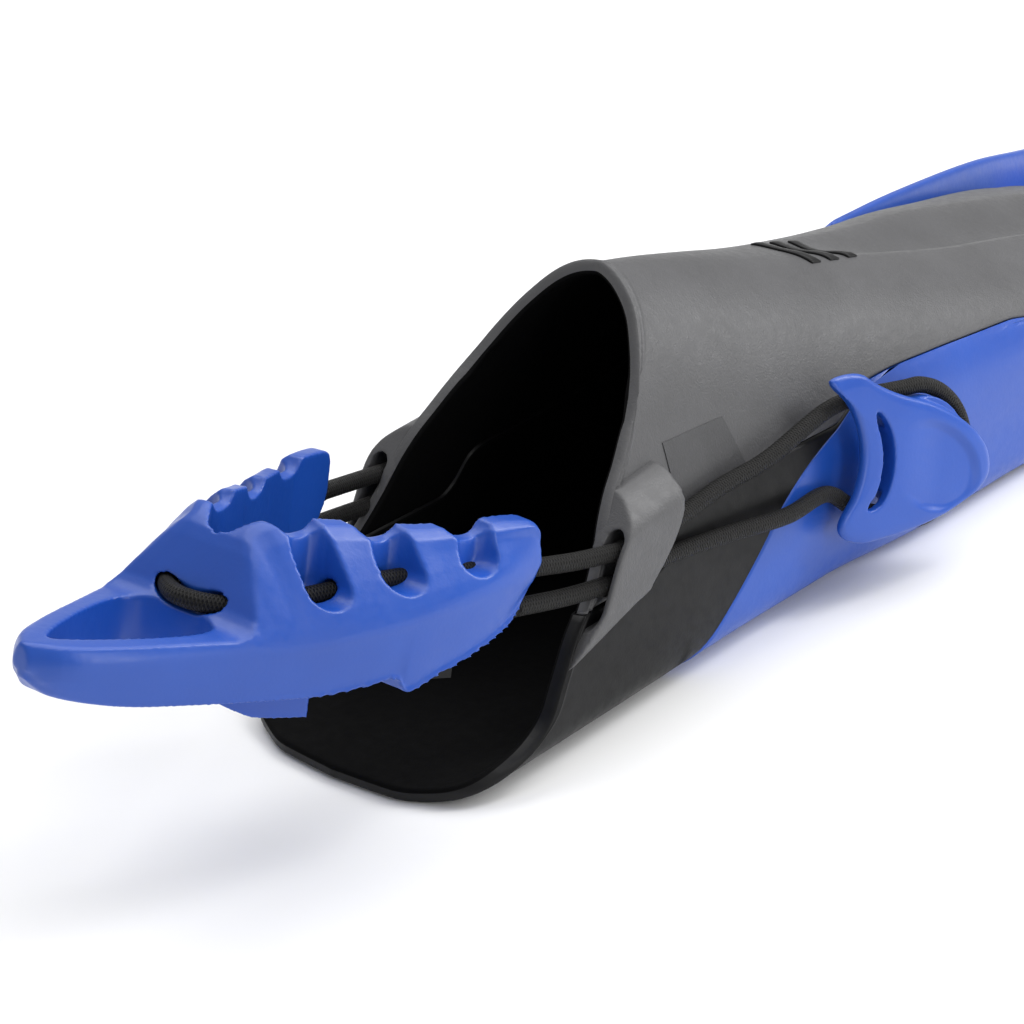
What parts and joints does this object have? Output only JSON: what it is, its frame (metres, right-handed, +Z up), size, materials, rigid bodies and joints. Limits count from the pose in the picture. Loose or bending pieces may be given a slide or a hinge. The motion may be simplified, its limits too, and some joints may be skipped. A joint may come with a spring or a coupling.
{
  "type": "swim fin",
  "caption": "Open-heel swim fin: rubber foot pocket on a railed blade, with a bungee heel strap, side anchor clips and a moulded heel pull with a finger loop.",
  "frame": {"origin": "middle of the bounding box in X and Y, on the floor plane under the sole", "axes": "+X the fin's right side, +Y from heel to blade tip, +Z up"},
  "size_m": [0.202, 0.755, 0.1234],
  "materials": {
    "grey_rubber": "satin thermoplastic rubber with a fine grain",
    "black_rubber": "smooth satin thermoplastic rubber",
    "blue_polymer": "satin moulded technopolymer",
    "channel_rubber": "matt soft rubber",
    "bungee_braid": "black braided elastic cord"
  },
  "bodies": {
    "fin": {"foot_pocket_upper": "grey_rubber", "foot_pocket_sole": "black_rubber", "blade_frame": "blue_polymer", "blade_channel_center": "channel_rubber", "blade_channel_right": "channel_rubber", "blade_channel_left": "channel_rubber", "bungee_front_right": "bungee_braid", "bungee_front_left": "bungee_braid", "instep_mark_1": "black_rubber", "instep_mark_2": "black_rubber", "instep_mark_3": "black_rubber"},
    "bungee_runs": {"bungee_upper_right": "bungee_braid", "bungee_upper_left": "bungee_braid", "bungee_lower_right": "bungee_braid", "bungee_lower_left": "bungee_braid"},
    "heel_pull": {"heel_pull": "blue_polymer", "heel_pull_liner": "black_rubber", "bungee_pad_upper": "bungee_braid", "bungee_pad_lower": "bungee_braid"},
    "anchor_clip_right": {"anchor_clip_right": "blue_polymer"},
    "anchor_clip_left": {"anchor_clip_left": "blue_polymer"}
  },
  "joints": [
    {"name": "heel_strap_swing", "type": "hinge", "parent": "fin", "child": "bungee_runs", "pos_m": [0, -0.1965, 0.053], "axis": [1, 0, 0], "range_deg": [-40, 20]},
    {"name": "heel_pull_stretch", "type": "slide", "parent": "bungee_runs", "child": "heel_pull", "axis": [0, -0.9703, 0.2419], "range_m": [0, 0.05], "stiffness_N_per_m": 400, "deforming": ["bungee_upper_right", "bungee_upper_left", "bungee_lower_right", "bungee_lower_left"]},
    {"name": "anchor_clip_right_swivel", "type": "hinge", "parent": "fin", "child": "anchor_clip_right", "pos_m": [0.06677, -0.05222, 0.04383], "axis": [0.9482, -0.2541, 0.1908], "range_deg": [-10, 10]},
    {"name": "anchor_clip_left_swivel", "type": "hinge", "parent": "fin", "child": "anchor_clip_left", "pos_m": [-0.06677, -0.05222, 0.04383], "axis": [-0.9482, -0.2541, 0.1908], "range_deg": [-10, 10]}
  ]
}
